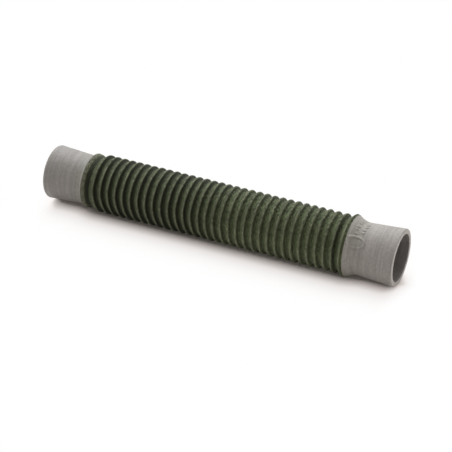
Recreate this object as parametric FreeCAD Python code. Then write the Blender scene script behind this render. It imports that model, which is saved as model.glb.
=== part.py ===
# Corrugated breathing hose with a soft rubber cuff moulded on each end.
# It lies along X on a flat surface at Z = 0, with the middle of its length over the origin.
# Lengths run along X and are in millimetres.
import FreeCAD, Part
import os

# Corrugated tube
RIDGE_DIAMETER = 27.2       # over the tops of the regular ridges
GROOVE_DEPTH = 1.4          # from a ridge's top down to the bottom of a groove
RIDGE_PITCH = 3.88
RIDGE_COUNT = 32            # regular ridges, between the two end ridges
RIDGE_TOP = 1.8             # width of a ridge's top
END_GROOVE = 2.4            # width of the groove beside an end ridge, at its mouth
TUBE_BORE = 21.0
SPIGOT_LENGTH = 3.0         # plain end of the tube, which a cuff is moulded around

# End ridges, each with a cuff's lip against it
LEFT_END_RIDGE_DIAMETER = 26.1
LEFT_END_RIDGE_TOP = 2.75
RIGHT_END_RIDGE_DIAMETER = 28.6
RIGHT_END_RIDGE_TOP = 2.05

# Cuffs
CUFF_BORE = 22.0            # seats a nominal 22 mm breathing connector
LIP_STEP = 0.2              # how far a cuff's lip stands proud of its end ridge
LIP_WIDTH = 0.7
NECK_BEVEL_LENGTH = 0.8     # slope that eases the lip's step down into the neck
NECK_BEVEL_RISE = 0.5
LEFT_CUFF_LENGTH = 21.2     # from the lip to the mouth
LEFT_NECK_DIAMETER = 23.7
LEFT_MOUTH_DIAMETER = 25.5
RIGHT_CUFF_LENGTH = 23.2
RIGHT_NECK_DIAMETER = 24.1
RIGHT_MOUTH_DIAMETER = 26.9

# How the pieces meet and how the hose lies
BOND_LINE = 0.02            # film between the tube and a cuff
RESTING_SAG = 0.15          # how far the soft ridges flatten where they rest

# The stack of lengths from the left mouth to the right mouth
ridge_radius = RIDGE_DIAMETER / 2
groove_radius = ridge_radius - GROOVE_DEPTH
regular_length = (RIDGE_COUNT - 1) * RIDGE_PITCH + RIDGE_TOP
left_tube_length = LEFT_END_RIDGE_TOP + END_GROOVE
right_tube_length = RIGHT_END_RIDGE_TOP + END_GROOVE
tube_length = left_tube_length + regular_length + right_tube_length
overall_length = LEFT_CUFF_LENGTH + tube_length + RIGHT_CUFF_LENGTH
left_ridge_x = LEFT_CUFF_LENGTH - overall_length / 2
right_ridge_x = left_ridge_x + tube_length
first_ridge_x = left_ridge_x + left_tube_length

# The plain ends end halfway through the wall, between the airway and the bottoms of the grooves
spigot_radius = (TUBE_BORE / 2 + groove_radius) / 2
axis_height = ridge_radius - RESTING_SAG


def turned(corners):
    """Solid turned about the hose's axis from corners (x, radius), flattened where it rests on Z = 0."""
    points = [FreeCAD.Vector(x, 0, radius) for x, radius in corners]
    face = Part.Face(Part.makePolygon(points + points[:1]))
    solid = face.revolve(FreeCAD.Vector(0, 0, 0), FreeCAD.Vector(1, 0, 0), 360)
    solid.translate(FreeCAD.Vector(0, 0, axis_height))
    widest = max(radius for x, radius in corners)
    if widest > axis_height:
        side = 2 * (overall_length + widest)
        below = Part.makeBox(side, side, side, FreeCAD.Vector(-side / 2, -side / 2, -side))
        solid = solid.cut(below).Solids[0]
    return solid


def tube_corners():
    """Outline of the tube: a corrugated wall outside, a smooth airway inside and a plain spigot at each end."""
    left_radius = LEFT_END_RIDGE_DIAMETER / 2
    right_radius = RIGHT_END_RIDGE_DIAMETER / 2
    corners = [
        (left_ridge_x - SPIGOT_LENGTH, TUBE_BORE / 2),
        (left_ridge_x - SPIGOT_LENGTH, spigot_radius),
        (left_ridge_x, spigot_radius),
        (left_ridge_x, left_radius),
        (left_ridge_x + LEFT_END_RIDGE_TOP, left_radius),
        (first_ridge_x - END_GROOVE / 2, groove_radius),
    ]
    for number in range(RIDGE_COUNT):
        start = first_ridge_x + number * RIDGE_PITCH
        corners.append((start, ridge_radius))
        corners.append((start + RIDGE_TOP, ridge_radius))
        if number < RIDGE_COUNT - 1:
            corners.append((start + (RIDGE_TOP + RIDGE_PITCH) / 2, groove_radius))
    corners += [
        (right_ridge_x - RIGHT_END_RIDGE_TOP - END_GROOVE / 2, groove_radius),
        (right_ridge_x - RIGHT_END_RIDGE_TOP, right_radius),
        (right_ridge_x, right_radius),
        (right_ridge_x, spigot_radius),
        (right_ridge_x + SPIGOT_LENGTH, spigot_radius),
        (right_ridge_x + SPIGOT_LENGTH, TUBE_BORE / 2),
    ]
    return corners


def cuff_corners(ridge_x, side, length, ridge_diameter, neck_diameter, mouth_diameter):
    """Outline of a cuff against an end ridge. side is +1 for the right end and -1 for the left end."""
    lip_radius = ridge_diameter / 2 + LIP_STEP
    neck_radius = neck_diameter / 2
    seat_end = SPIGOT_LENGTH + BOND_LINE
    outline = [
        (BOND_LINE, spigot_radius + BOND_LINE),
        (BOND_LINE, lip_radius),
        (LIP_WIDTH, lip_radius),
        (LIP_WIDTH, neck_radius + NECK_BEVEL_RISE),
        (LIP_WIDTH + NECK_BEVEL_LENGTH, neck_radius),
        (length, mouth_diameter / 2),
        (length, CUFF_BORE / 2),
        (seat_end, CUFF_BORE / 2),
        (seat_end, spigot_radius + BOND_LINE),
    ]
    return [(ridge_x + side * distance, radius) for distance, radius in outline]


nodes = {
    "corrugated_hose": turned(tube_corners()),
    "left_end_cuff": turned(cuff_corners(left_ridge_x, -1, LEFT_CUFF_LENGTH, LEFT_END_RIDGE_DIAMETER,
                                         LEFT_NECK_DIAMETER, LEFT_MOUTH_DIAMETER)),
    "right_end_cuff": turned(cuff_corners(right_ridge_x, 1, RIGHT_CUFF_LENGTH, RIGHT_END_RIDGE_DIAMETER,
                                          RIGHT_NECK_DIAMETER, RIGHT_MOUTH_DIAMETER)),
}

os.makedirs("parts", exist_ok=True)
for name, shape in nodes.items():
    print(name, shape.ShapeType, shape.isValid(), "volume", round(shape.Volume, 1), "mm3")
    shape.exportStep("parts/" + name + ".step")
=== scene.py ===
"""Looks of a corrugated breathing hose: a knit-faced green wall with a moulded grey cuff on each end."""

import math
import random

import bmesh
import bpy
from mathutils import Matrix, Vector


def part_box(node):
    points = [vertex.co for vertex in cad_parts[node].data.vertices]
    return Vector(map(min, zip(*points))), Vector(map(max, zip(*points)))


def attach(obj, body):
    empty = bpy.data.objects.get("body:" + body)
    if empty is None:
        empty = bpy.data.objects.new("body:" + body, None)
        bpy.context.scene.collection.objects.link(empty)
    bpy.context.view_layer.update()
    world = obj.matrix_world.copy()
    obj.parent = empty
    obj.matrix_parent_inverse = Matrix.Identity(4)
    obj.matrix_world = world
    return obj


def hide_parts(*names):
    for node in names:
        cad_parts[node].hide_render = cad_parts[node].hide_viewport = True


bl_info = {
    "name": "Breathing hose",
    "version": (1, 0, 0),
    "blender": (4, 5, 0),
    "location": "3D View > Sidebar > Hose",
    "description": "Builds a corrugated breathing hose with a moulded cuff on each end",
    "category": "Object",
}

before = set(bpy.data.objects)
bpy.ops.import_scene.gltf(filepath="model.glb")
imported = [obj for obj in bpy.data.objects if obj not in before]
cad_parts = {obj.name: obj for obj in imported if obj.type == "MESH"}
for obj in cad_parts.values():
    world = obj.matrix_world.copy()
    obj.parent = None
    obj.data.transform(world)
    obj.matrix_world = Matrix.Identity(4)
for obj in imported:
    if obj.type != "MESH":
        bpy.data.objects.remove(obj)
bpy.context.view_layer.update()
WALL_LOW, WALL_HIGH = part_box("corrugated_hose")
LEFT_LOW, LEFT_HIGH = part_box("left_end_cuff")
RIGHT_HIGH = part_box("right_end_cuff")[1]
AXIS_HEIGHT = (LEFT_LOW.z + LEFT_HIGH.z) / 2
MM = 0.001
WHITE = (1.0, 1.0, 1.0, 1.0)

# Bond line between the tube and the cuffs, as in the solids.
BOND = 0.02 * MM
# The right mouth ends this little short of the solid's, as in the photo.
RIGHT_MOUTH_X = RIGHT_HIGH.x - 0.3 * MM


def length(name, description, default):
    """A length that the user may change, in metres."""
    return bpy.props.FloatProperty(name=name, description=description, default=default, min=0.0,
                                   precision=5, subtype="DISTANCE", unit="LENGTH")


def place(name, description, default):
    """A position along an axis that the user may change, in metres."""
    return bpy.props.FloatProperty(name=name, description=description, default=default,
                                   precision=5, subtype="DISTANCE", unit="LENGTH")


def degrees(name, description, default):
    """An angle that the user may change. default is in degrees."""
    return bpy.props.FloatProperty(name=name, description=description, default=math.radians(default),
                                   subtype="ANGLE", unit="ROTATION")


def share(name, description, default, top=1.0):
    """A plain factor that the user may change."""
    return bpy.props.FloatProperty(name=name, description=description, default=default, min=0.0, max=top)


def bias(name, description, default):
    """A factor that the user may change and that may be below 0."""
    return bpy.props.FloatProperty(name=name, description=description, default=default, min=-0.9, max=0.9)


def power(name, description, default):
    """The power of a lamp that the user may change, in watts."""
    return bpy.props.FloatProperty(name=name, description=description, default=default, min=0.0,
                                   unit="POWER")


def whole(name, description, default, low=1):
    """A count that the user may change."""
    return bpy.props.IntProperty(name=name, description=description, default=default, min=low)


def colour(name, description, default):
    """A colour that the user may change, in scene-linear values."""
    return bpy.props.FloatVectorProperty(name=name, description=description, default=default,
                                         size=4, min=0.0, max=1.0, subtype="COLOR")


class HoseWallSettings(bpy.types.PropertyGroup):
    ridge_radius: length("Ridge radius", "From the hose's axis to the crest of a ridge", 13.8 * MM)
    groove_depth: length("Groove depth", "From a crest down to the bottom of a groove", 1.47 * MM)
    pitch: length("Pitch", "From one crest to the next", 3.88 * MM)
    ridges: whole("Ridges", "Regular ridges between the two end ridges", 32)
    first_crest: place("First crest", "Middle of the leftmost regular ridge", -61.35 * MM)
    sharpness: bpy.props.FloatProperty(name="Sharpness", default=1.60, min=1.0, max=4.0,
                                       description="2 is a plain wave, less makes fuller ridges")
    crowding: bias("Crowding", "Above 0 narrows the crests and widens the grooves", 0.19)
    lean: bias("Lean", "Above 0 tips the crests towards the right end", 0.42)
    drag: length("Drag", "How far the wall is dragged to the right where it rests, most in its left half",
                 1.3 * MM)
    slack: length("Slack", "How far the back of the wall leans to the left", 0.5 * MM)
    bunching: length("Bunching", "How far the ridges left of the middle are pushed towards it", 0.35 * MM)
    left_land: length("Left land radius", "Radius of the left end ridge", 13.1 * MM)
    right_land: length("Right land radius", "Radius of the right end ridge", 14.5 * MM)
    bore: length("Bore radius", "Radius of the airway", 10.5 * MM)
    left_spigot: length("Left spigot length", "Plain end of the tube under the left cuff", 2.4 * MM)
    right_spigot: length("Right spigot length", "Plain end of the tube under the right cuff", 3.25 * MM)
    spigot_radius: length("Spigot radius", "Outside of the plain end", 11.35 * MM)
    unevenness: length("Unevenness", "How far the soft wall wanders from true", 0.1 * MM)
    around: whole("Segments around", "Facets around the wall", 160, 16)
    across: whole("Segments across", "Facets across one ridge", 13, 4)
    seed: whole("Seed", "Fixes the unevenness of the wall", 7, 0)


class CuffSettings(bpy.types.PropertyGroup):
    bore: length("Bore radius", "Inside of both cuffs, which seats the connector", 11.0 * MM)
    lip_rounding: length("Lip rounding", "Edge of a lip towards its shoulder", 0.3 * MM)
    ease: length("Ease", "Last gentle fall from a shoulder to the neck", 2.8 * MM)
    fillet: length("Neck fillet", "Hollow curve from a shoulder into the neck", 2.5 * MM)
    rim_rounding: length("Rim rounding", "Outer edge of a mouth", 0.6 * MM)
    left_lip: length("Left lip radius", "Radius over the left lip", 13.25 * MM)
    left_lip_width: length("Left lip width", "Flat top of the left lip", 0.35 * MM)
    left_shoulder: length("Left shoulder length", "Steep fall from the left lip", 0.6 * MM)
    left_foot: length("Left shoulder foot", "Radius where the left shoulder ends", 12.1 * MM)
    left_neck: length("Left neck radius", "Narrowest radius of the left cuff", 11.9 * MM)
    left_mouth: length("Left mouth radius", "Outside of the left mouth", 12.95 * MM)
    right_lip: length("Right lip radius", "Radius over the right lip", 14.1 * MM)
    right_lip_width: length("Right lip width", "Flat top of the right lip", 0.2 * MM)
    right_shoulder: length("Right shoulder length", "Slope down from the right lip", 1.82 * MM)
    right_foot: length("Right shoulder foot", "Radius where the right shoulder ends", 13.04 * MM)
    right_neck: length("Right neck radius", "Narrowest radius of the right cuff", 12.05 * MM)
    right_mouth: length("Right mouth radius", "Outside of the right mouth", 13.4 * MM)
    around: whole("Segments around", "Facets around a cuff", 192, 16)


class MarkSettings(bpy.types.PropertyGroup):
    along: place("Along", "Middle of the oval along the hose", 69.1 * MM)
    turn: degrees("Turn", "Turn of the oval up from the front of the cuff", 44.0)
    height: length("Height", "How far the rim stands proud of the cuff", 0.32 * MM)
    oval_length: length("Oval length", "Along the hose, inside the raised rim", 6.8 * MM)
    oval_width: length("Oval width", "Around the cuff, inside the raised rim", 3.8 * MM)
    rim: length("Rim", "Width of the soft outer slope of the oval's rim", 1.1 * MM)
    first_column: whole("First column", "Small pads in the column nearer the lip", 5)
    second_column: whole("Second column", "Small pads in the column nearer the mouth", 4)
    step: length("Step", "From one pad to the next around the cuff", 1.9 * MM)
    pad_height: length("Pad height", "How far the small pads stand proud of the cuff", 0.22 * MM)
    seed: whole("Seed", "Fixes how the worn pads differ from one another", 3, 0)


class FinishSettings(bpy.types.PropertyGroup):
    thread: colour("Thread", "Green of the knitted face", (0.0800, 0.1000, 0.0530, 1.0))
    thread_deep: colour("Between threads", "Green where the wall shows between the stitches",
                        (0.0314, 0.0405, 0.0185, 1.0))
    stitches_around: whole("Stitches around", "Columns of stitches round the hose", 76)
    stitches_across: whole("Stitches across", "Rows of stitches over one ridge", 8)
    stitch_spread: share("Stitch spread", "How much one stitch differs from the next in tone", 1.0, 2.0)
    sheen: colour("Cloth sheen", "Colour of the soft light along the cloth's edges", (0.8, 0.9, 0.7, 1.0))
    highlight: colour("Cloth highlight", "Colour of the cloth's weak highlight", (0.9, 0.97, 0.65, 1.0))
    # Painted shade: the grooves are darkened by their depth, more in the left half than in the right.
    groove_shade_left: share("Left groove tone", "Tone of the left half's grooves against the crests", 0.32)
    groove_shade_right: share("Right groove tone", "Tone of the right half's grooves against the crests", 0.99)
    # Painted shade along the foot of each ridge's right side and in the grooves beside the end ridges.
    shading_left: share("Left shading", "Painted shade along the foot of each ridge's right side, in the left half", 0.97)
    shading_right: share("Right shading", "The same painted shade in the right half", 0.41)
    shading_place_left: share("Left shading place", "Middle of that painted shade across a ridge, from left to right", 0.77)
    shading_place_right: share("Right shading place", "The same place in the right half", 0.788)
    shading_width_left: share("Left shading width", "Half the width of that painted shade, as a share of a ridge", 0.28)
    shading_width_right: share("Right shading width", "The same width in the right half", 0.19)
    end_shading: share("End shading", "Painted shade in the grooves beside the two end ridges", 0.72)
    low_paleness: share("Low paleness", "How much paler the crests are low down in the right half", 0.32)
    crest_grey: colour("Pale crest", "Greyer green along the crests", (0.112, 0.1215, 0.082, 1.0))
    left_land: colour("Left land", "Faded green of the left end ridge", (0.118, 0.124, 0.090, 1.0))
    crest_paleness: share("Crest paleness", "How far the crests have gone to the greyer colour", 0.93)
    pale_line_place: share("Pale line place", "Middle of the pale line across a ridge", 0.50)
    pale_line_width: share("Pale line width", "Half the width of the pale line, as a share of a ridge", 0.21)
    cuff: colour("Cuff", "Grey of the moulded cuffs", (0.3071, 0.2951, 0.2824, 1.0))
    cuff_streak: colour("Cuff streak", "Grey of the fine lines around the cuffs",
                        (0.2544, 0.2439, 0.2328, 1.0))
    left_tone: colour("Left cuff tone", "Tone of the left cuff against the right one",
                      (0.87, 0.885, 0.885, 1.0))
    cuff_stain: colour("Cuff stain", "Tone of the cuffs beside the green wall", (0.965, 0.985, 0.93, 1.0))
    # Painted shade inside the cuffs.
    inside_shade: share("Inside shade", "Tone of a cuff's inside against its outside", 0.75)
    # Painted light on the rim of the right mouth.
    rim_light: share("Rim light", "How much painted light makes the rim of the right mouth paler", 0.3, 4.0)


class StageSettings(bpy.types.PropertyGroup):
    camera_place: bpy.props.FloatVectorProperty(name="Camera", description="Where the camera stands",
                                                default=(0.25865, -0.55636, 0.41372), size=3,
                                                subtype="TRANSLATION", unit="LENGTH")
    turn: degrees("Turn", "Turn of the camera about the vertical", 24.752)
    dip: degrees("Dip", "How far the camera looks down", 33.593)
    lens: bpy.props.FloatProperty(name="Lens", description="Focal length on a 36 mm sensor, in millimetres",
                                  default=126.03, min=10.0)
    floor: colour("Floor", "Colour of the floor under the hose", (0.90, 0.873, 0.85, 1.0))
    floor_size: length("Floor size", "From the floor's middle to its edge", 6.0)
    floor_near: length("Floor near", "From the hose's middle to where the floor starts to go to plain white",
                       6.5 * MM)
    floor_quick: length("Floor quick", "How far on it goes to white quickly", 7.5 * MM)
    floor_far: length("Floor far", "How far on it is plain white", 30.0 * MM)
    floor_quick_share: share("Floor quick share", "How much of the way to white the quick part makes", 0.72)
    sky_colour: colour("Sky colour", "Even light from all round", (1.0, 0.9, 0.85, 1.0))
    sky: share("Sky", "Strength of the even light from all round", 0.376, 4.0)
    lamp_distance: length("Lamp distance", "From the middle of the hose to each lamp", 3.0)
    key_turn: degrees("Key turn", "Where the key lamp stands, turned from the right end to the back", 119.2)
    key_rise: degrees("Key rise", "How high the key lamp stands", 51.6)
    key_size: length("Key size", "Breadth of the key lamp", 3.46)
    key_power: power("Key power", "Lamp above and behind on the left", 111.1)
    side_turn: degrees("Side turn", "Where the side lamp stands, turned as the key lamp", 191.6)
    side_rise: degrees("Side rise", "How high the side lamp stands", 23.7)
    side_size: length("Side size", "Breadth of the side lamp", 2.6)
    side_power: power("Side power", "Lamp low on the left", 18.8)
    fill_turn: degrees("Fill turn", "Where the fill lamp stands, turned as the key lamp", 20.4)
    fill_rise: degrees("Fill rise", "How high the fill lamp stands", 22.6)
    fill_size: length("Fill size", "Breadth of the fill lamp", 2.6)
    fill_power: power("Fill power", "Lamp low on the right", 21.9)


class Graph:
    """Adds nodes to a tree and feeds their sockets from numbers or from other sockets."""

    PER_ROW = 12
    ACROSS = 220
    DOWN = -260

    def __init__(self, tree):
        self.tree = tree
        tree.nodes.clear()

    def node(self, kind, inputs=None, **settings):
        made = self.tree.nodes.new(kind)
        for name, value in settings.items():
            setattr(made, name, value)
        for key, value in (inputs or {}).items():
            if isinstance(key, int):
                socket = made.inputs[key]
            else:
                socket = next(s for s in made.inputs if s.name == key and s.enabled)
            self.feed(socket, value)
        row, column = divmod(len(self.tree.nodes), self.PER_ROW)
        made.location = (self.ACROSS * column, self.DOWN * row)
        return made

    def feed(self, socket, value):
        if isinstance(value, bpy.types.NodeSocket):
            self.tree.links.new(value, socket)
        else:
            socket.default_value = value

    def math(self, operation, *values):
        return self.node("ShaderNodeMath", dict(enumerate(values)), operation=operation).outputs[0]

    def add(self, a, b):
        return self.math("ADD", a, b)

    def subtract(self, a, b):
        return self.math("SUBTRACT", a, b)

    def times(self, a, b):
        return self.math("MULTIPLY", a, b)

    def apart(self, a, b):
        """Distance between two values."""
        return self.math("ABSOLUTE", self.subtract(a, b))

    def vector(self, operation, *values):
        made = self.node("ShaderNodeVectorMath", dict(enumerate(values)), operation=operation)
        return made.outputs["Value" if operation == "LENGTH" else "Vector"]

    def combine(self, x, y, z):
        return self.node("ShaderNodeCombineXYZ", {0: x, 1: y, 2: z}).outputs[0]

    def separate(self, value):
        return self.node("ShaderNodeSeparateXYZ", {0: value}).outputs

    def even(self, value):
        """A vector with the same value three times."""
        return self.combine(value, value, value)

    def shaded(self, tint, shade):
        """A colour made lighter or darker by a factor."""
        return self.vector("MULTIPLY", tint, self.even(shade))

    def span(self, value, low, high, start=0.0, end=1.0, smooth=True):
        """value carried from low..high to start..end, and held there beyond."""
        made = self.node("ShaderNodeMapRange", {"Value": value, "From Min": low, "From Max": high,
                                                "To Min": start, "To Max": end},
                         interpolation_type="SMOOTHSTEP" if smooth else "LINEAR")
        return made.outputs[0]

    def noise(self, spot, scale, detail=2.0, roughness=0.5):
        made = self.node("ShaderNodeTexNoise", {"Vector": spot, "Scale": scale, "Detail": detail,
                                                "Roughness": roughness})
        return made.outputs[0]

    def vary(self, noise, low, high):
        """A noise, which mostly stays between 0.3 and 0.7, carried to low..high."""
        return self.span(noise, 0.3, 0.7, low, high, False)

    def blend(self, factor, a, b):
        made = self.node("ShaderNodeMix", {}, data_type="RGBA", blend_type="MIX")
        self.feed(made.inputs["Factor"], factor)
        colours = [s for s in made.inputs if s.type == "RGBA"]
        self.feed(colours[0], a)
        self.feed(colours[1], b)
        return next(s for s in made.outputs if s.type == "RGBA")


def new_material(name):
    material = bpy.data.materials.new(name)
    material.use_nodes = True
    return material, Graph(material.node_tree)


def axis_distance(g, y, z):
    """Distance from the hose's axis."""
    return g.vector("LENGTH", g.combine(0.0, y, g.subtract(z, AXIS_HEIGHT)))


# Where the look of the wall changes, in metres: X along the hose, Y from front to back, Z up and R from the
# axis. A pair holds the start and the end of a change.
RIGHT_HALF_X = (-22.0 * MM, 14.0 * MM)
LEFT_LAND_X = (-65.4 * MM, -66.0 * MM)
# The groove on the left of the first regular ridge gets less painted shade than the others in the left half.
PALE_GROOVE_X = -62.9 * MM
PALE_GROOVE_REACH = (0.3 * MM, 1.3 * MM)
PALE_GROOVE_TONE = 0.75
# Painted shade also lies in the grooves beside the end ridges. It is stronger on top of the right half, by
# the share that follows TOP_Y, and it spares the airway.
END_GROOVES_X = (-64.7 * MM, 60.2 * MM)
END_GROOVE_REACH = 1.2 * MM
TOP_Y = (-7.0 * MM, 2.0 * MM)
TOP_SHADING = 0.85
AIRWAY_R = (10.8 * MM, 11.6 * MM)
# Low down the crests are paler, and on top the stitches differ more.
LOW_Z = (21.0 * MM, 13.0 * MM)
STITCH_Y = (11.0 * MM, 3.0 * MM)
STITCH_SPREADS = (0.7, 1.5)
# Rows that a stitch's arm climbs, and powers that shape its thread and the gap beside it.
ARM_CLIMB = 0.6
THREAD_POWER = 0.7
GAP_POWER = 0.35


def stitches(g, finish, knit):
    """Height of the V-shaped stitches, and one random value for each of them."""
    columns = g.times(knit[1], float(finish.stitches_around))
    arm = g.times(g.apart(g.math("FRACT", columns), 0.5), 2.0)
    rows = g.add(g.times(knit[0], float(finish.stitches_across)), g.times(arm, ARM_CLIMB))
    thread = g.math("SINE", g.times(g.math("FRACT", rows), math.pi))
    gap = g.math("SINE", g.times(g.math("FRACT", arm), math.pi))
    gap = g.math("POWER", g.math("MAXIMUM", gap, 0.001), GAP_POWER)
    height = g.times(g.math("POWER", thread, THREAD_POWER), gap)
    cell = g.combine(g.math("FLOOR", rows), g.math("FLOOR", columns), 0.0)
    each = g.node("ShaderNodeTexWhiteNoise", {"Vector": cell}, noise_dimensions="3D").outputs["Value"]
    return height, each


def wall_shading(g, finish, across, right_half, spot, radius):
    """Share of painted shade at the foot of each ridge's right side, which faces away from the lamps on the
    left, and in the grooves beside the end ridges.
    """
    x, y, _ = g.separate(spot)

    def by_half(left, right):
        return g.span(right_half, 0.0, 1.0, left, right, False)

    off = g.apart(across, by_half(finish.shading_place_left, finish.shading_place_right))
    off = g.math("DIVIDE", off, by_half(finish.shading_width_left, finish.shading_width_right))
    shading = g.times(g.span(off, 0.0, 1.0, 1.0, 0.0), by_half(finish.shading_left, finish.shading_right))
    top = g.times(right_half, g.span(y, *TOP_Y))
    shading = g.times(shading, g.add(1.0, g.times(top, TOP_SHADING)))
    for middle in END_GROOVES_X:
        beside = g.span(g.apart(x, middle), 0.0, END_GROOVE_REACH, finish.end_shading, 0.0)
        shading = g.math("MAXIMUM", shading, beside)
    return g.times(shading, g.span(radius, *AIRWAY_R))


def knit_material(finish, wall):
    """Fine knitted face that follows the wall, with painted shade in the grooves and on the ridges' right
    sides, and paler crests.
    """
    material, g = new_material("green knit rubber")
    knit = g.separate(g.node("ShaderNodeUVMap", uv_map="knit").outputs[0])
    spot = g.node("ShaderNodeTexCoord").outputs["Object"]
    x, y, z = g.separate(spot)
    radius = axis_distance(g, y, z)
    crest, groove = wall.ridge_radius, wall.ridge_radius - wall.groove_depth
    on_crest = g.span(radius, groove, crest)
    across = g.math("FRACT", knit[0])
    right_half = g.span(x, *RIGHT_HALF_X)
    land = g.span(x, *LEFT_LAND_X)
    stitch, each = stitches(g, finish, knit)
    broad = g.noise(spot, 55.0)
    mottle = g.noise(spot, 480.0, 3.0, 0.65)
    fuzz = g.noise(spot, 1500.0, 2.0, 0.7)

    spreads = [part * finish.stitch_spread for part in STITCH_SPREADS]
    spread = g.span(g.math("ABSOLUTE", y), *STITCH_Y, *spreads)
    shade = g.add(g.vary(broad, 0.92, 1.08), g.vary(mottle, -0.14, 0.14))
    shade = g.add(shade, g.times(g.subtract(each, 0.5), spread))
    # Painted shade in the grooves, darker by depth; the groove by the left end ridge gets less of it and the
    # left land none.
    tone = g.span(right_half, 0.0, 1.0, finish.groove_shade_left, finish.groove_shade_right, False)
    pale = g.span(g.apart(x, PALE_GROOVE_X), *PALE_GROOVE_REACH, PALE_GROOVE_TONE, 0.0)
    tone = g.math("MAXIMUM", tone, g.math("MAXIMUM", pale, land))
    shade = g.times(shade, g.span(radius, groove, crest, tone, 1.0, False))
    # Painted shade on the ridges' right sides and beside the end ridges.
    shade = g.times(shade, g.subtract(1.0, wall_shading(g, finish, across, right_half, spot, radius)))
    # Crests paler low down in the right half.
    low = g.times(g.times(right_half, g.span(z, *LOW_Z)), on_crest)
    shade = g.times(shade, g.add(1.0, g.times(low, finish.low_paleness)))

    cloth = g.blend(g.span(stitch, 0.15, 0.9), tuple(finish.thread_deep), tuple(finish.thread))
    # A paler, greyer line along each crest.
    pale_line = g.subtract(1.0, g.span(g.apart(across, finish.pale_line_place), 0.0, finish.pale_line_width))
    pale_line = g.times(g.times(pale_line, on_crest), finish.crest_paleness)
    cloth = g.blend(pale_line, cloth, tuple(finish.crest_grey))
    cloth = g.blend(land, cloth, tuple(finish.left_land))
    relief = g.add(stitch, g.times(fuzz, 0.35))
    bump = g.node("ShaderNodeBump", {"Strength": 0.5, "Distance": 0.12 * MM, "Height": relief})
    shader = g.node("ShaderNodeBsdfPrincipled", {
        "Base Color": g.shaded(cloth, shade), "Roughness": g.span(fuzz, 0.2, 0.8, 0.62, 0.82, False),
        "Specular IOR Level": 0.2, "Specular Tint": tuple(finish.highlight), "Sheen Weight": 0.12,
        "Sheen Roughness": 0.45, "Sheen Tint": tuple(finish.sheen), "Normal": bump.outputs[0]})
    g.node("ShaderNodeOutputMaterial", {"Surface": shader.outputs[0]})
    return material


# Where the look of the cuffs changes, in the same terms: outwards from their inside, which has painted
# shade, at the rim of the right mouth, which has painted light, from the left cuff to the right one, and
# from clean rubber to the stain beside the wall.
CUFF_INSIDE_R = (11.05 * MM, 11.3 * MM)
LIT_RIM_X = (RIGHT_MOUTH_X - 0.4 * MM, RIGHT_MOUTH_X + 0.1 * MM)
RIGHT_CUFF_X = (-20.0 * MM, 20.0 * MM)
CUFF_STAIN_X = (76.0 * MM, 68.0 * MM)
# How fast the noise of the fine lines changes around a cuff, against along it.
LINES_AROUND = 0.05


def cuff_material(finish):
    """Moulded grey rubber with fine lines around it, from the tool that made the mould."""
    material, g = new_material("grey moulded rubber")
    spot = g.node("ShaderNodeTexCoord").outputs["Object"]
    x, y, z = g.separate(spot)
    drawn_out = g.combine(x, g.times(y, LINES_AROUND), g.times(z, LINES_AROUND))
    line = g.noise(drawn_out, 900.0, 2.0, 0.6)
    band = g.noise(drawn_out, 300.0)
    cloud = g.noise(spot, 110.0, 3.0)
    grain = g.noise(spot, 800.0, 3.0, 0.65)
    streak = g.span(g.add(g.times(line, 0.65), g.times(band, 0.35)), 0.38, 0.62)
    grey = g.blend(streak, tuple(finish.cuff_streak), tuple(finish.cuff))
    shade = g.add(g.vary(cloud, 0.95, 1.05), g.vary(grain, -0.12, 0.12))
    # Painted shade inside the cuff, towards the bore.
    shade = g.times(shade, g.span(axis_distance(g, y, z), *CUFF_INSIDE_R, finish.inside_shade, 1.0))
    # Painted light on the rim of the right mouth.
    rim = g.times(g.span(x, *LIT_RIM_X), finish.rim_light)
    grey = g.shaded(grey, g.times(shade, g.add(1.0, rim)))
    side_tone = g.blend(g.span(x, *RIGHT_CUFF_X), tuple(finish.left_tone), WHITE)
    stain = g.blend(g.span(g.math("ABSOLUTE", x), *CUFF_STAIN_X), WHITE, tuple(finish.cuff_stain))
    grey = g.vector("MULTIPLY", g.vector("MULTIPLY", grey, side_tone), stain)
    relief = g.add(line, g.times(grain, 0.5))
    bump = g.node("ShaderNodeBump", {"Strength": 0.35, "Distance": 0.08 * MM, "Height": relief})
    shader = g.node("ShaderNodeBsdfPrincipled", {
        "Base Color": grey, "Roughness": g.vary(cloud, 0.5, 0.62), "Specular IOR Level": 0.4,
        "Normal": bump.outputs[0]})
    g.node("ShaderNodeOutputMaterial", {"Surface": shader.outputs[0]})
    return material


# The shadow that the camera sees keeps its width along the hose, is a little narrower beside the cuffs and
# closes in a curve past the ends.
SHADOW_LENGTH = 82.0 * MM
SHADOW_CLOSING = 150.0
SHADOW_NARROWS_X = (62.0 * MM, 74.0 * MM)
SHADOW_NARROWER = 2.0 * MM
SHADOW_CURVE = 2.5


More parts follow.
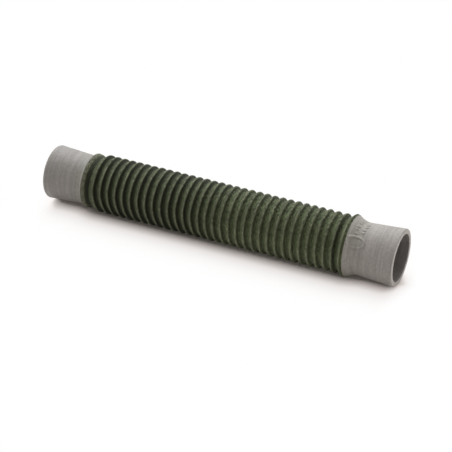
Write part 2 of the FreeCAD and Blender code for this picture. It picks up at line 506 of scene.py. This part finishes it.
def floor_material(s):
    """Pale floor. The camera sees it go to plain white away from the hose and keeps the shadow beside it."""
    material, g = new_material("pale floor")
    spot = g.node("ShaderNodeTexCoord").outputs["Object"]
    x, y, _ = g.separate(spot)
    along = g.math("ABSOLUTE", x)
    past_end = g.math("MAXIMUM", g.subtract(along, SHADOW_LENGTH), 0.0)
    away = g.add(g.math("ABSOLUTE", y), g.times(SHADOW_CLOSING, g.times(past_end, past_end)))
    away = g.add(away, g.span(along, *SHADOW_NARROWS_X, 0.0, SHADOW_NARROWER))
    quick_end, far = s.floor_near + s.floor_quick, s.floor_near + s.floor_far
    quick = g.span(away, s.floor_near, quick_end, 0.0, s.floor_quick_share, False)
    left = g.math("POWER", g.span(away, quick_end, far, 1.0, 0.0, False), SHADOW_CURVE)
    white = g.add(quick, g.times(1.0 - s.floor_quick_share, g.subtract(1.0, left)))
    camera = g.node("ShaderNodeLightPath").outputs["Is Camera Ray"]
    tone = g.shaded(tuple(s.floor)[:3], g.vary(g.noise(spot, 40.0), 0.995, 1.005))
    matt = g.node("ShaderNodeBsdfDiffuse", {"Color": tone})
    # Near the hose the white is warm: a painted warm tint in the shadow.
    warm = g.blend(white, (1.0, 0.9, 0.86, 1.0), WHITE)
    plain = g.node("ShaderNodeEmission", {"Color": warm, "Strength": 1.0})
    both = g.node("ShaderNodeMixShader", {0: g.times(camera, white), 1: matt.outputs[0],
                                          2: plain.outputs[0]})
    g.node("ShaderNodeOutputMaterial", {"Surface": both.outputs[0]})
    return material


def material_of(name, make):
    """The material of that name, made the first time."""
    return bpy.data.materials.get(name) or make()


# Faces in a quarter turn of rounding, and the longest face along a cuff.
WALL_STEPS = 6
CUFF_STEPS = 10
CUFF_FACE = 2.0 * MM


def rounded(corners, closed, steps):
    """Points (x, radius) through corners (x, radius, rounding), with an arc at each rounded corner."""
    points = []
    count = len(corners)
    for i, (x, r, rounding) in enumerate(corners):
        here = Vector((x, r))
        if rounding <= 0 or (not closed and i in (0, count - 1)):
            points.append(here)
            continue
        back = Vector(corners[i - 1][:2]) - here
        ahead = Vector(corners[(i + 1) % count][:2]) - here
        half = back.angle(ahead) / 2
        reach = min(rounding / math.tan(half), 0.49 * back.length, 0.49 * ahead.length)
        radius = reach * math.tan(half)
        centre = here + (back.normalized() + ahead.normalized()).normalized() * (radius / math.sin(half))
        start = here + back.normalized() * reach - centre
        end = here + ahead.normalized() * reach - centre
        sweep = start.angle_signed(end)
        turns = max(2, math.ceil(abs(sweep) / (math.pi / 2) * steps))
        for k in range(turns + 1):
            bend = -sweep * k / turns
            cos, sin = math.cos(bend), math.sin(bend)
            points.append(centre + Vector((start.x * cos - start.y * sin, start.x * sin + start.y * cos)))
    return points


def split_long(points, longest):
    """The same closed line with points added, so that no run is longer than longest."""
    result = []
    for a, b in zip(points, points[1:] + points[:1]):
        cuts = max(1, math.ceil((b - a).length / longest))
        result += [a.lerp(b, k / cuts) for k in range(cuts)]
    return result


def turned_mesh(name, points, around, closed, pitch, start):
    """Mesh turned about the hose's axis. Its map "knit" holds the place along the hose, in pitches from
    start, and the turn around, as a share of a full one."""
    mesh = bpy.data.meshes.new(name)
    bm = bmesh.new()
    knit = bm.loops.layers.uv.new("knit")
    rings = []
    for point in points:
        ring = []
        for k in range(around):
            bend = 2 * math.pi * k / around
            y, z = point.y * math.sin(bend), point.y * math.cos(bend)
            ring.append(bm.verts.new((point.x, y, AXIS_HEIGHT + z)))
        rings.append(ring)
    runs = [(point.x - start) / pitch for point in points]
    runs.append(runs[0])
    last = len(rings) if closed else len(rings) - 1
    for i in range(last):
        here, there = rings[i], rings[(i + 1) % len(rings)]
        for k in range(around):
            after = (k + 1) % around
            face = bm.faces.new((here[k], there[k], there[after], here[after]))
            turns = (k / around, k / around, (k + 1) / around, (k + 1) / around)
            for loop, run, turn in zip(face.loops, (runs[i], runs[i + 1], runs[i + 1], runs[i]), turns):
                loop[knit].uv = (run, turn)
            face.smooth = True
    bm.to_mesh(mesh)
    bm.free()
    return mesh


def add_piece(name, mesh):
    piece = bpy.data.objects.new(name, mesh)
    bpy.context.scene.collection.objects.link(piece)
    return piece


def dress(piece, material, slot, *nodes):
    """Gives a finished piece its material and its body, and hides the CAD nodes that it stands for."""
    piece.data.materials.clear()
    piece.data.materials.append(material)
    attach(piece, "root")
    if nodes:
        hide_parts(*nodes)


def stored(g, geometry, name, value, kind, domain):
    """A geometry with a value stored in its attribute of that name."""
    made = g.node("GeometryNodeStoreNamedAttribute", {"Geometry": geometry, "Name": name, "Value": value},
                  data_type=kind, domain=domain)
    return made.outputs[0]


def bent_ridge(g, given):
    """A flat grid bent into one ridge from groove to groove, as a ring about the origin."""
    grid = g.node("GeometryNodeMeshGrid", {"Size X": 1.0, "Size Y": 1.0,
                                           "Vertices X": g.add(given["Segments across"], 1.0),
                                           "Vertices Y": g.add(given["Segments around"], 1.0)})
    mapped = stored(g, grid.outputs["Mesh"], "knit", grid.outputs["UV Map"], "FLOAT2", "CORNER")
    flat = g.separate(g.node("GeometryNodeInputPosition").outputs[0])
    swing = g.times(flat[0], math.pi)
    twice = g.times(swing, 2.0)
    rise = g.math("POWER", g.math("MAXIMUM", g.math("COSINE", swing), 0.0), given["Sharpness"])
    crowd = g.times(g.times(given["Crowding"], 0.5 / math.pi), g.math("SINE", twice))
    tip = g.times(g.times(given["Lean"], 0.5 / math.pi), g.add(g.math("COSINE", twice), 1.0))
    along = g.times(given["Pitch"], g.add(g.subtract(flat[0], crowd), tip))
    radius = g.subtract(given["Ridge radius"], g.times(given["Groove depth"], g.subtract(1.0, rise)))
    turn = g.times(flat[1], 2 * math.pi)
    bent = g.combine(along, g.times(radius, g.math("SINE", turn)), g.times(radius, g.math("COSINE", turn)))
    return g.node("GeometryNodeSetPosition", {"Geometry": mapped, "Position": bent}).outputs[0]


def repeated(g, given, ring):
    """A ring on every crest. Its number is added to its map, so that no two rings have the same stitches."""
    start = g.combine(given["First crest"], 0.0, given["Axis height"])
    step = g.combine(given["Pitch"], 0.0, 0.0)
    crests = g.node("GeometryNodeMeshLine", {"Count": given["Ridges"], "Start Location": start,
                                             "Offset": step}, mode="OFFSET")
    rings = g.node("GeometryNodeInstanceOnPoints", {"Points": crests.outputs[0], "Instance": ring})
    index = g.node("GeometryNodeInputIndex").outputs[0]
    numbered = stored(g, rings.outputs[0], "ring", index, "FLOAT", "INSTANCE")
    apart = g.node("GeometryNodeRealizeInstances", {"Geometry": numbered})
    number = g.node("GeometryNodeInputNamedAttribute", {"Name": "ring"}, data_type="FLOAT")
    knit = g.node("GeometryNodeInputNamedAttribute", {"Name": "knit"}, data_type="FLOAT_VECTOR")
    shift = g.combine(g.subtract(number.outputs["Attribute"], given["Ridges"]), 0.0, 0.0)
    shifted = g.vector("ADD", knit.outputs["Attribute"], shift)
    remapped = stored(g, apart.outputs[0], "knit", shifted, "FLOAT2", "CORNER")
    return g.node("GeometryNodeRemoveAttribute", {"Geometry": remapped, "Name": "ring"}).outputs[0]


# Where the soft wall is dragged, leans back and is pushed together, in the same terms. The push ends at 1
# and falls by PUSH_FALL over the ridges that bunch up.
DRAG_Z = (19.0 * MM, 7.0 * MM)
DRAG_X = (30.0 * MM, -32.0 * MM)
LEAST_DRAG = 0.15
SLACK_Y = (-4.0 * MM, 10.0 * MM)
PUSH_X = (-46.0 * MM, -18.0 * MM)
BUNCH_X = (-16.0 * MM, 6.0 * MM)
PUSH_FALL = 1.4
# Noise over the whole wall and from ridge to ridge: how far a seed shifts it, and how quickly it changes.
RIPPLE_SHIFT, RIPPLE_SCALE = 0.37, 95.0
RIDGE_SHIFT, RIDGE_SCALE = 0.11, 260.0


def off_true(g, given):
    """How far each point of the soft wall lies from where a true one has it."""
    spot = g.node("GeometryNodeInputPosition").outputs[0]
    x, y, z = g.separate(spot)
    half = g.times(g.times(given["Pitch"], 0.5), g.subtract(given["Ridges"], 1.0))
    off_middle = g.apart(x, g.add(given["First crest"], half))
    inside = g.span(off_middle, g.subtract(half, given["Pitch"]), g.add(half, given["Pitch"]), 1.0, 0.0)
    shifted = g.vector("ADD", spot, g.combine(g.times(given["Seed"], RIPPLE_SHIFT), 0.0, 0.0))
    ripple = g.subtract(g.noise(shifted, RIPPLE_SCALE), 0.5)
    on_line = g.combine(g.add(x, g.times(given["Seed"], RIDGE_SHIFT)), 0.0, 0.0)
    per_ridge = g.subtract(g.noise(on_line, RIDGE_SCALE, 0.0), 0.5)
    wander = g.times(g.times(g.add(ripple, per_ridge), given["Unevenness"]), g.times(inside, 2.0))
    outwards = g.vector("NORMALIZE", g.combine(0.0, y, g.subtract(z, given["Axis height"])))
    foot = g.times(g.span(z, *DRAG_Z), g.span(x, *DRAG_X, LEAST_DRAG, 1.0))
    push = g.subtract(g.span(x, *PUSH_X), g.span(x, *BUNCH_X, 0.0, PUSH_FALL))
    sideways = g.add(g.times(given["Drag"], foot), g.times(given["Bunching"], push))
    sideways = g.subtract(sideways, g.times(given["Slack"], g.span(y, *SLACK_Y)))
    sideways = g.combine(g.times(sideways, inside), 0.0, 0.0)
    return g.vector("MULTIPLY_ADD", outwards, g.even(wander), sideways)


def wall_tree():
    """Geometry Nodes tree that repeats a ridge, joins the rings to the plain ends and moves the wall off
    true. Apart from the axis height and the finish, its inputs have the names of the wall's settings."""
    tree = bpy.data.node_groups.new("Corrugated wall", "GeometryNodeTree")
    counts = ("Ridges", "Segments around", "Segments across", "Seed")
    values = ("Pitch", "First crest", "Ridge radius", "Groove depth", "Sharpness", "Crowding", "Lean",
              "Drag", "Slack", "Bunching", "Unevenness", "Axis height")
    sockets = [("Plain ends", "NodeSocketGeometry"), ("Finish", "NodeSocketMaterial")]
    sockets += [(name, "NodeSocketInt") for name in counts]
    sockets += [(name, "NodeSocketFloat") for name in values]
    for name, kind in sockets:
        tree.interface.new_socket(name=name, in_out="INPUT", socket_type=kind)
    tree.interface.new_socket(name="Wall", in_out="OUTPUT", socket_type="NodeSocketGeometry")
    g = Graph(tree)
    given = g.node("NodeGroupInput").outputs
    rings = repeated(g, given, bent_ridge(g, given))
    joined = g.node("GeometryNodeJoinGeometry")
    tree.links.new(given["Plain ends"], joined.inputs[0])
    tree.links.new(rings, joined.inputs[0])
    welded = g.node("GeometryNodeMergeByDistance", {"Geometry": joined.outputs[0], "Distance": 0.02 * MM})
    uneven = g.node("GeometryNodeSetPosition", {"Geometry": welded.outputs[0], "Offset": off_true(g, given)})
    x, y, z = g.separate(g.node("GeometryNodeInputPosition").outputs[0])
    above_floor = g.combine(x, y, g.math("MAXIMUM", z, 0.0))
    rested = g.node("GeometryNodeSetPosition", {"Geometry": uneven.outputs[0], "Position": above_floor})
    smooth = g.node("GeometryNodeSetShadeSmooth", {"Geometry": rested.outputs[0]})
    plain = g.node("GeometryNodeRealizeInstances", {"Geometry": smooth.outputs[0]})
    finished = g.node("GeometryNodeSetMaterial", {"Geometry": plain.outputs[0], "Material": given["Finish"]})
    g.node("NodeGroupOutput", {"Wall": finished.outputs[0]})
    return tree


def grown(piece, tree, values):
    """Plain mesh that a Geometry Nodes tree makes of a piece, with the modifier gone."""
    modifier = piece.modifiers.new(tree.name, "NODES")
    modifier.node_group = tree
    for item in tree.interface.items_tree:
        if item.item_type == "SOCKET" and item.in_out == "INPUT" and item.name in values:
            modifier[item.identifier] = values[item.name]
    bpy.context.view_layer.update()
    seen = piece.evaluated_get(bpy.context.evaluated_depsgraph_get())
    mesh = bpy.data.meshes.new_from_object(seen)
    piece.modifiers.clear()
    mesh.name = piece.name
    old, piece.data = piece.data, mesh
    bpy.data.meshes.remove(old)
    return piece


class HOSE_OT_wall(bpy.types.Operator):
    """Build the corrugated wall with its end ridges, spigots and airway"""
    bl_idname = "hose.wall"
    bl_label = "Corrugated Wall"

    def execute(self, context):
        s = context.scene.hose_wall
        groove = s.ridge_radius - s.groove_depth
        left_end, right_end = WALL_LOW.x, WALL_HIGH.x
        left_ridge, right_ridge = left_end + s.left_spigot, right_end - s.right_spigot
        last_groove = s.first_crest + (s.ridges - 0.5) * s.pitch
        soft = 0.5 * MM
        # Over the right end ridge, back through the airway and over the left end ridge.
        outline = [
            (last_groove, groove, 0),
            (last_groove + 0.5 * MM, groove + 0.05 * MM, soft),
            (right_ridge - 1.5 * MM, s.right_land - 0.5 * MM, soft),
            (right_ridge - 1.0 * MM, s.right_land, soft),
            (right_ridge - 0.5 * MM, s.right_land - 0.05 * MM, soft),
            (right_ridge, s.right_land - 0.3 * MM, 0),
            (right_ridge, s.spigot_radius, 0),
            (right_end, s.spigot_radius, 0),
            (right_end, s.bore, 0),
            (left_end, s.bore, 0),
            (left_end, s.spigot_radius, 0),
            (left_ridge, s.spigot_radius, 0),
            (left_ridge, s.left_land, 0),
            (left_ridge + 1.0 * MM, s.left_land, soft),
            (left_ridge + 1.9 * MM, groove + 0.1 * MM, soft),
            (s.first_crest - 0.5 * s.pitch, groove, 0),
        ]
        points = rounded(outline, False, WALL_STEPS)
        mesh = turned_mesh("hose_wall", points, s.around, False, s.pitch, last_groove)
        finish = context.scene.hose_finish
        material = material_of("green knit rubber", lambda: knit_material(finish, s))
        values = {s.bl_rna.properties[key].name: getattr(s, key) for key in s.__annotations__}
        values.update({"Axis height": AXIS_HEIGHT, "Finish": material})
        piece = grown(add_piece("hose_wall", mesh), wall_tree(), values)
        dress(piece, material, "green_hose_rubber", "corrugated_hose")
        return {"FINISHED"}


def cuff_corners(s, side, wall_end, spigot, spigot_radius, outside):
    """Outline of a cuff from its lip to its mouth and back through the bore. outside holds its outer
    sizes."""
    lip, lip_width, shoulder, foot, neck, mouth, mouth_radius = outside

    def along(distance):
        return wall_end + side * (distance - spigot)

    return [
        (along(BOND), spigot_radius + BOND, 0),
        (along(BOND), lip, 0.15 * MM),
        (along(lip_width), lip, s.lip_rounding),
        (along(lip_width + shoulder), foot, s.fillet),
        (along(lip_width + shoulder + s.ease), neck, 3 * s.fillet),
        (mouth, mouth_radius, s.rim_rounding),
        (mouth, s.bore, 0.3 * MM),
        (along(spigot + BOND), s.bore, 0),
        (along(spigot + BOND), spigot_radius + BOND, 0),
    ]


def left_cuff_corners(s, wall):
    return cuff_corners(s, -1, WALL_LOW.x, wall.left_spigot, wall.spigot_radius,
                        (s.left_lip, s.left_lip_width, s.left_shoulder, s.left_foot, s.left_neck,
                         LEFT_LOW.x, s.left_mouth))


def right_cuff_corners(s, wall):
    return cuff_corners(s, 1, WALL_HIGH.x, wall.right_spigot, wall.spigot_radius,
                        (s.right_lip, s.right_lip_width, s.right_shoulder, s.right_foot, s.right_neck,
                         RIGHT_MOUTH_X, s.right_mouth))


class HOSE_OT_cuffs(bpy.types.Operator):
    """Build the moulded cuff on each end"""
    bl_idname = "hose.cuffs"
    bl_label = "End Cuffs"

    def execute(self, context):
        s, wall = context.scene.hose_cuffs, context.scene.hose_wall
        material = material_of("grey moulded rubber", lambda: cuff_material(context.scene.hose_finish))
        for name, node, corners in (("left_cuff", "left_end_cuff", left_cuff_corners(s, wall)),
                                    ("right_cuff", "right_end_cuff", right_cuff_corners(s, wall))):
            points = split_long(rounded(corners, True, CUFF_STEPS), CUFF_FACE)
            piece = add_piece(name, turned_mesh(name, points, s.around, True, wall.pitch, 0.0))
            bm = bmesh.new()
            bm.from_mesh(piece.data)
            bmesh.ops.remove_doubles(bm, verts=bm.verts, dist=0.001 * MM)
            bmesh.ops.recalc_face_normals(bm, faces=bm.faces)
            for vert in bm.verts:
                vert.co.z = max(vert.co.z, 0.0)
            bm.to_mesh(piece.data)
            bm.free()
            dress(piece, material, "grey_cuff_rubber", node)
        return {"FINISHED"}


def outer_radius(points, x):
    """Outside radius of a turned outline at x."""
    reach = 0.0
    for a, b in zip(points, points[1:] + points[:1]):
        if min(a.x, b.x) <= x <= max(a.x, b.x) and a.x != b.x:
            reach = max(reach, a.y + (b.y - a.y) * (x - a.x) / (b.x - a.x))
    return reach


# Bottom of every raised form, under the face of the cuff, and the least half width of a raised form.
SUNK = -0.2 * MM
LEAST_HALF = 0.02 * MM


def raised_form(bm, surface, middle, half, steps, ring=False, around=40):
    """Low form bent onto the cuff. middle is (x, angle), half holds half its length along and around the
    cuff, and each step is (distance in from its edge, height)."""
    loops = []
    for inset, height in steps:
        loop = []
        for k in range(around):
            bend = 2 * math.pi * k / around
            x = middle[0] + max(half[0] - inset, LEAST_HALF) * math.cos(bend)
            radius = surface(x) + height
            turn = middle[1] + max(half[1] - inset, LEAST_HALF) * math.sin(bend) / surface(middle[0])
            loop.append(bm.verts.new((x, -radius * math.cos(turn), AXIS_HEIGHT + radius * math.sin(turn))))
        loops.append(loop)
    pairs = list(zip(loops, loops[1:]))
    if ring:
        pairs.append((loops[-1], loops[0]))
    for low, high in pairs:
        for k in range(around):
            after = (k + 1) % around
            bm.faces.new((low[k], low[after], high[after], high[k])).smooth = True
    if not ring:
        for loop in (loops[0], loops[-1]):
            bm.faces.new(loop).smooth = True


class HOSE_OT_mark(bpy.types.Operator):
    """Build the plain raised mark on the right cuff: an oval rim and two columns of small pads"""
    bl_idname = "hose.mark"
    bl_label = "Raised Mark"

    def execute(self, context):
        s = context.scene.hose_mark
        wall, cuffs = context.scene.hose_wall, context.scene.hose_cuffs
        points = rounded(right_cuff_corners(cuffs, wall), True, CUFF_STEPS)
        top, pad_top, soft = s.height, s.pad_height, 0.18 * MM
        bm = bmesh.new()

        def surface(x):
            return outer_radius(points, x)

        rim_steps = ((0.0, SUNK), (0.0, 0.0), (0.6 * s.rim, 0.8 * top), (s.rim, top),
                     (s.rim + soft, 0.8 * top), (s.rim + 2 * soft, 0.0), (s.rim + 2 * soft, SUNK))
        pad_steps = ((0.0, SUNK), (0.0, 0.0), (soft, 0.55 * pad_top), (2 * soft, 0.9 * pad_top),
                     (2.6 * soft, pad_top))
        half = (s.oval_length / 2 + s.rim + 2 * soft, s.oval_width / 2 + s.rim + 2 * soft)
        raised_form(bm, surface, (s.along, s.turn), half, rim_steps, ring=True, around=64)
        gap = 0.9 * MM
        first = s.turn + (half[1] + gap) / surface(s.along)
        chance = random.Random(s.seed)
        # Each column has its count of pads, its place from the oval's middle and its start, in steps.
        for count, offset, start in ((s.first_column, -1.0 * MM, 0.0), (s.second_column, 2.2 * MM, 0.4)):
            for k in range(count):
                turn = first + (start + k + chance.uniform(-0.2, 0.2)) * s.step / surface(s.along)
                middle = (s.along + offset + chance.uniform(-0.35, 0.35) * MM, turn)
                size = (chance.uniform(0.65, 1.1) * MM, chance.uniform(0.5, 0.8) * MM)
                raised_form(bm, surface, middle, size, pad_steps)
        bmesh.ops.recalc_face_normals(bm, faces=bm.faces)
        mesh = bpy.data.meshes.new("raised_mark")
        bm.to_mesh(mesh)
        bm.free()
        material = material_of("grey moulded rubber", lambda: cuff_material(context.scene.hose_finish))
        dress(add_piece("raised_mark", mesh), material, "grey_cuff_rubber")
        return {"FINISHED"}


class HOSE_OT_stage(bpy.types.Operator):
    """Build the pale floor, the soft light and the camera"""
    bl_idname = "hose.stage"
    bl_label = "Stage"

    def execute(self, context):
        s = context.scene.hose_stage
        scene = context.scene
        scene.view_settings.view_transform = "Standard"
        mesh = bpy.data.meshes.new("floor")
        bm = bmesh.new()
        bmesh.ops.create_grid(bm, x_segments=1, y_segments=1, size=s.floor_size)
        bm.to_mesh(mesh)
        bm.free()
        floor = add_piece("floor", mesh)
        floor.data.materials.append(floor_material(s))
        self.lamp("key", s.key_turn, s.key_rise, s.lamp_distance, s.key_size, s.key_power)
        self.lamp("side", s.side_turn, s.side_rise, s.lamp_distance, s.side_size, s.side_power)
        self.lamp("fill", s.fill_turn, s.fill_rise, s.lamp_distance, s.fill_size, s.fill_power)
        self.sky(scene, tuple(s.sky_colour), s.sky)
        data = bpy.data.cameras.new("camera")
        data.lens = s.lens
        data.sensor_width = 36.0
        data.clip_start = 0.01
        data.clip_end = 50.0
        camera = bpy.data.objects.new("camera", data)
        camera.location = s.camera_place
        camera.rotation_euler = (math.pi / 2 - s.dip, 0.0, s.turn)
        scene.collection.objects.link(camera)
        scene.camera = camera
        return {"FINISHED"}

    def lamp(self, name, turn, rise, distance, size, watts):
        data = bpy.data.lights.new(name, "AREA")
        data.shape = "DISK"
        data.size = size
        data.energy = watts
        towards = Vector((math.cos(rise) * math.cos(turn), math.cos(rise) * math.sin(turn), math.sin(rise)))
        made = bpy.data.objects.new(name, data)
        made.location = towards * distance + Vector((0, 0, AXIS_HEIGHT))
        made.rotation_euler = towards.to_track_quat("Z", "Y").to_euler()
        bpy.context.scene.collection.objects.link(made)

    def sky(self, scene, tint, strength):
        world = bpy.data.worlds.new("even white")
        world.use_nodes = True
        scene.world = world
        g = Graph(world.node_tree)
        path = g.node("ShaderNodeLightPath").outputs
        seen = g.math("MAXIMUM", path["Is Camera Ray"],
                      g.math("MAXIMUM", path["Is Glossy Ray"], path["Is Transmission Ray"]))
        lit = g.node("ShaderNodeBackground", {"Color": tint, "Strength": strength})
        shown = g.node("ShaderNodeBackground", {"Color": WHITE, "Strength": 1.0})
        both = g.node("ShaderNodeMixShader", {0: seen, 1: lit.outputs[0], 2: shown.outputs[0]})
        g.node("ShaderNodeOutputWorld", {"Surface": both.outputs[0]})


class HOSE_PT_panel(bpy.types.Panel):
    """Sizes, finishes and stage of the hose"""
    bl_idname = "HOSE_PT_panel"
    bl_label = "Breathing Hose"
    bl_space_type = "VIEW_3D"
    bl_region_type = "UI"
    bl_category = "Hose"

    def draw(self, context):
        scene = context.scene
        for title, settings, action in (("Corrugated wall", scene.hose_wall, "hose.wall"),
                                        ("Cuffs", scene.hose_cuffs, "hose.cuffs"),
                                        ("Raised mark", scene.hose_mark, "hose.mark"),
                                        ("Finishes", scene.hose_finish, None),
                                        ("Stage", scene.hose_stage, "hose.stage")):
            box = self.layout.box()
            box.label(text=title)
            for name in settings.__annotations__:
                box.prop(settings, name)
            if action:
                box.operator(action)


SETTINGS = {"hose_wall": HoseWallSettings, "hose_cuffs": CuffSettings, "hose_mark": MarkSettings,
            "hose_finish": FinishSettings, "hose_stage": StageSettings}
CLASSES = (*SETTINGS.values(), HOSE_OT_wall, HOSE_OT_cuffs, HOSE_OT_mark, HOSE_OT_stage, HOSE_PT_panel)


def register():
    for one in CLASSES:
        bpy.utils.register_class(one)
    for name, one in SETTINGS.items():
        setattr(bpy.types.Scene, name, bpy.props.PointerProperty(type=one))


def unregister():
    for name in SETTINGS:
        delattr(bpy.types.Scene, name)
    for one in reversed(CLASSES):
        bpy.utils.unregister_class(one)


def main():
    register()
    bpy.ops.hose.stage()
    bpy.ops.hose.wall()
    bpy.ops.hose.cuffs()
    bpy.ops.hose.mark()


if __name__ == "__main__":
    main()
